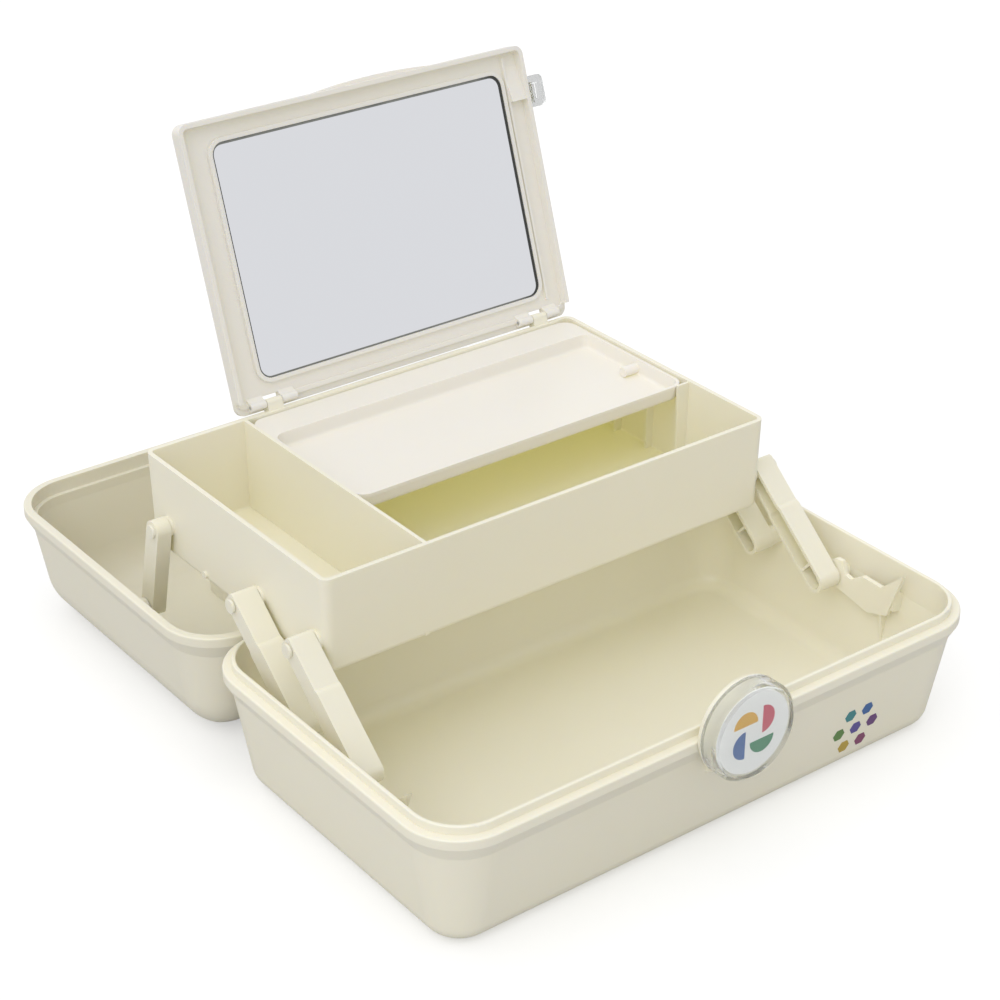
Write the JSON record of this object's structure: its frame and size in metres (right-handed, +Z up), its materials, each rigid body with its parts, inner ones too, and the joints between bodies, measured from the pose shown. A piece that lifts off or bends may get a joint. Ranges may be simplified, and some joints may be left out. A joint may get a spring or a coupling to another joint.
{
  "type": "make-up storage case",
  "caption": "Clamshell plastic case with a cantilever tray, a shallow insert tray, a flip-up mirror lid, a round latch and a folding carry handle.",
  "frame": {"origin": "centre of the open case's footprint, on the floor", "axes": "+X to the right along the hinge line, +Y from the base to the lid, +Z up"},
  "size_m": [0.33, 0.4108, 0.2723],
  "materials": {
    "ivory_shell": "satin moulded plastic, ivory",
    "ivory_tray": "satin moulded plastic, ivory",
    "white_tray": "satin moulded plastic, off-white",
    "ivory_arm": "satin moulded plastic, ivory",
    "ivory_pin": "satin moulded plastic, ivory",
    "steel_pin": "drawn wire",
    "mirror_glass": "silvered glass",
    "clear_plastic": "clear polished plastic",
    "printed_card": "white card with small printed shapes"
  },
  "bodies": {
    "base": {"base_shell": "ivory_shell", "hinge_pins": "steel_pin", "base_pivot_pins": "ivory_pin", "latch_pin": "steel_pin"},
    "lid": {"lid_shell": "ivory_shell", "lid_pivot_pins": "ivory_pin", "handle_pins": "steel_pin"},
    "front_arm_left": {"front_arm_left": "ivory_arm"},
    "front_arm_right": {"front_arm_right": "ivory_arm"},
    "rear_arm_left": {"rear_arm_left": "ivory_arm"},
    "rear_arm_right": {"rear_arm_right": "ivory_arm"},
    "lid_arm_left": {"lid_arm_left": "ivory_arm", "lid_arm_rivet_left": "ivory_pin"},
    "lid_arm_right": {"lid_arm_right": "ivory_arm", "lid_arm_rivet_right": "ivory_pin"},
    "tray": {"tray": "ivory_tray", "shallow_tray": "white_tray", "tray_pivot_pins": "ivory_pin"},
    "mirror_lid": {"mirror_lid_panel": "ivory_tray", "mirror_glass": "mirror_glass", "mirror_bezel": "ivory_tray", "mirror_clip": "clear_plastic", "mirror_hinge_pins": "steel_pin"},
    "latch": {"latch_cover": "clear_plastic", "latch_insert": "printed_card", "latch_plate": "ivory_shell"},
    "handle": {"handle": "ivory_shell"}
  },
  "joints": [
    {"name": "lid_hinge", "type": "hinge", "parent": "base", "child": "lid", "pos_m": [0, 0.00655, 0.06715], "axis": [1, 0, 0], "range_deg": [0, 180]},
    {"name": "front_arm_left_pivot", "type": "hinge", "parent": "base", "child": "front_arm_left", "pos_m": [0, -0.10205, 0.05], "axis": [1, 0, 0], "range_deg": [0, 123]},
    {"name": "rear_arm_left_pivot", "type": "hinge", "parent": "base", "child": "rear_arm_left", "pos_m": [0, -0.05305, 0.05], "axis": [1, 0, 0], "range_deg": [0, 123]},
    {"name": "lid_arm_left_pivot", "type": "hinge", "parent": "lid", "child": "lid_arm_left", "pos_m": [0, 0.09244, 0.04399], "axis": [1, 0, 0], "range_deg": [0, 52.24]},
    {"name": "front_arm_right_pivot", "type": "hinge", "parent": "base", "child": "front_arm_right", "pos_m": [0, -0.10205, 0.05], "axis": [1, 0, 0], "range_deg": [0, 123]},
    {"name": "rear_arm_right_pivot", "type": "hinge", "parent": "base", "child": "rear_arm_right", "pos_m": [0, -0.05305, 0.05], "axis": [1, 0, 0], "range_deg": [0, 123]},
    {"name": "lid_arm_right_pivot", "type": "hinge", "parent": "lid", "child": "lid_arm_right", "pos_m": [0, 0.09244, 0.04399], "axis": [1, 0, 0], "range_deg": [0, 52.24]},
    {"name": "tray_level", "type": "hinge", "parent": "front_arm_left", "child": "tray", "pos_m": [0, -0.05186, 0.09286], "axis": [1, 0, 0], "range_deg": [-123, 0]},
    {"name": "mirror_hinge", "type": "hinge", "parent": "tray", "child": "mirror_lid", "pos_m": [0, 0.10175, 0.1312], "axis": [1, 0, 0], "range_deg": [0, 108.5]},
    {"name": "latch_hinge", "type": "hinge", "parent": "base", "child": "latch", "pos_m": [0, -0.19165, 0.0485], "axis": [1, 0, 0], "range_deg": [0, 65]},
    {"name": "handle_hinge", "type": "hinge", "parent": "lid", "child": "handle", "pos_m": [0, 0.09555, 0.0052], "axis": [-1, 0, 0], "range_deg": [0, 95]}
  ],
  "couplings": [
    {"joint": "front_arm_left_pivot", "follows": "lid_hinge", "ratio": 0.68333},
    {"joint": "rear_arm_left_pivot", "follows": "lid_hinge", "ratio": 0.68333},
    {"joint": "lid_arm_left_pivot", "follows": "lid_hinge", "ratio": 0.29016},
    {"joint": "front_arm_right_pivot", "follows": "lid_hinge", "ratio": 0.68333},
    {"joint": "rear_arm_right_pivot", "follows": "lid_hinge", "ratio": 0.68333},
    {"joint": "lid_arm_right_pivot", "follows": "lid_hinge", "ratio": 0.29016},
    {"joint": "tray_level", "follows": "lid_hinge", "ratio": -0.68333},
    {"joint": "mirror_hinge", "follows": "lid_hinge", "ratio": 0.60278}
  ]
}
